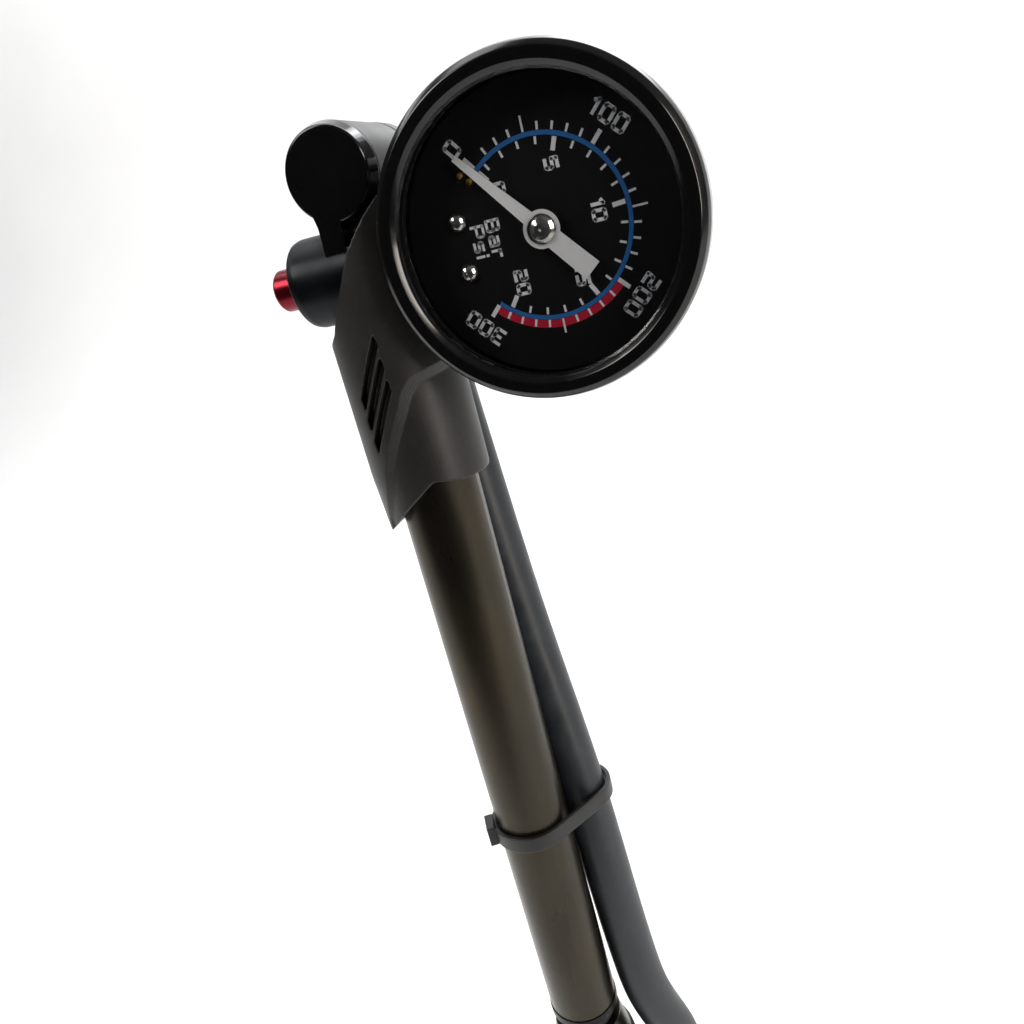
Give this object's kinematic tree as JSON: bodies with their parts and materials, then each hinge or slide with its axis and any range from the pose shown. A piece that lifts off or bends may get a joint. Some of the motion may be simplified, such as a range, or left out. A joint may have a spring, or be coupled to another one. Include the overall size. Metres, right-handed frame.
{
  "type": "shock suspension pump",
  "caption": "Hand pump for air suspension: slim barrel with pull handle, side-mounted round pressure gauge, bleed button, swivelling hose and screw-on valve chuck.",
  "frame": {"origin": "centre of the handle's flat bottom, on the barrel axis", "axes": "+Z along the barrel from handle to head; -Y is the gauge face; +X is the gauge side and -X the bleed-button side"},
  "size_m": [0.0831, 0.0411, 0.2793],
  "materials": {
    "head_coat": "fine matte black powder coat",
    "gloss_black": "gloss black",
    "hub_anodise": "satin blue-black anodise",
    "dark_ring": "semi-gloss black anodise",
    "barrel_anodise": "satin graphite anodise",
    "red_anodise": "red anodise",
    "bare_aluminium": "machined",
    "steel": "ground",
    "brass": "machined",
    "black_rubber": "matte",
    "hose_rubber": "smooth satin blue-black",
    "strap_rubber": "smooth",
    "bezel_black": "gloss black",
    "lens_clear": "clear polished",
    "dial_black": "satin black with printed scale",
    "chrome": "polished",
    "needle_white": "matte white",
    "bush_polymer": "natural acetal",
    "grip_rubber": "ribbed matte"
  },
  "bodies": {
    "pump_body": {"head_shell": "head_coat", "boss_trim": "gloss_black", "valve_block": "bare_aluminium", "hub_collar": "hub_anodise", "hub_ring": "dark_ring", "bleed_spring": "steel", "barrel_tube": "barrel_anodise", "barrel_oring": "black_rubber", "gland_cap": "dark_ring", "gland_bush": "bush_polymer", "gland_wiper": "black_rubber", "gland_oring": "black_rubber", "check_seat": "brass", "check_spring": "steel", "swivel_bushing": "brass", "hose_strap": "strap_rubber", "gauge_case": "bezel_black", "gauge_bezel": "bezel_black", "gauge_lens": "lens_clear", "lens_gasket": "black_rubber", "dial_plate": "dial_black", "dial_rivets": "chrome", "zero_stop": "brass", "gauge_socket": "brass", "socket_seal": "black_rubber", "bourdon_tube": "brass", "movement_back_plate": "brass", "movement_front_plate": "brass", "movement_pillars": "brass", "movement_screws": "steel", "hairspring": "steel"},
    "piston": {"piston_head": "bush_polymer", "piston_oring": "black_rubber", "piston_screw": "steel"},
    "handle": {"piston_rod": "steel", "handle_core": "barrel_anodise", "handle_grip": "grip_rubber", "handle_end_cap": "gloss_black", "handle_screw": "steel", "handle_bumper": "black_rubber"},
    "bleed_valve": {"bleed_button": "red_anodise", "bleed_stem": "steel", "bleed_seal": "black_rubber"},
    "check_valve": {"check_poppet": "bush_polymer"},
    "hose_line": {"swivel_elbow": "head_coat", "swivel_orings": "black_rubber", "swivel_screw": "steel", "hose_ferrule_top": "dark_ring", "hose": "hose_rubber", "hose_ferrule_bottom": "dark_ring", "chuck_body": "bare_aluminium", "chuck_seal": "black_rubber", "chuck_pin": "brass"},
    "chuck_sleeve": {"chuck_collar": "dark_ring"},
    "sector": {"sector_gear": "brass"},
    "pointer": {"pinion_arbor": "steel", "needle": "needle_white", "needle_cap": "chrome"},
    "link": {"tip_link": "steel", "bourdon_tip": "brass"}
  },
  "joints": [
    {"name": "handle_stroke", "type": "slide", "parent": "pump_body", "child": "piston", "axis": [0, 0, -1], "range_m": [0, 0.125]},
    {"name": "handle_turn", "type": "hinge", "parent": "piston", "child": "handle", "pos_m": [0, 0, 0.1], "axis": [0, 0, 1], "continuous": true},
    {"name": "bleed_press", "type": "slide", "parent": "pump_body", "child": "bleed_valve", "axis": [1, 0, 0], "range_m": [0, 0.0014], "deforming": ["bleed_spring"]},
    {"name": "check_lift", "type": "slide", "parent": "pump_body", "child": "check_valve", "axis": [0, 0, 1], "range_m": [0, 0.0012], "deforming": ["check_spring"]},
    {"name": "hose_swivel", "type": "hinge", "parent": "pump_body", "child": "hose_line", "pos_m": [-0.001, 0.0187, 0.2693], "axis": [0, -1, 0], "range_deg": [0, 270], "deforming": ["hose_strap"]},
    {"name": "chuck_turn", "type": "hinge", "parent": "hose_line", "child": "chuck_sleeve", "pos_m": [0.0202, 0.0078, 0.014], "axis": [0, 0, 1], "continuous": true},
    {"name": "sector_turn", "type": "hinge", "parent": "pump_body", "child": "sector", "pos_m": [0.023, 0, 0.252], "axis": [0, -1, 0], "range_deg": [0, 37.92]},
    {"name": "pointer_sweep", "type": "hinge", "parent": "pump_body", "child": "pointer", "pos_m": [0.035, 0, 0.252], "axis": [0, 1, 0], "range_deg": [0, 265.44]},
    {"name": "link_swing", "type": "hinge", "parent": "sector", "child": "link", "pos_m": [0.02725, 0, 0.25051], "axis": [0, 1, 0], "range_deg": [0, 37.92], "deforming": ["bourdon_tube"]}
  ],
  "couplings": [
    {"joint": "pointer_sweep", "follows": "sector_turn", "ratio": 7},
    {"joint": "link_swing", "follows": "sector_turn", "ratio": 1}
  ]
}
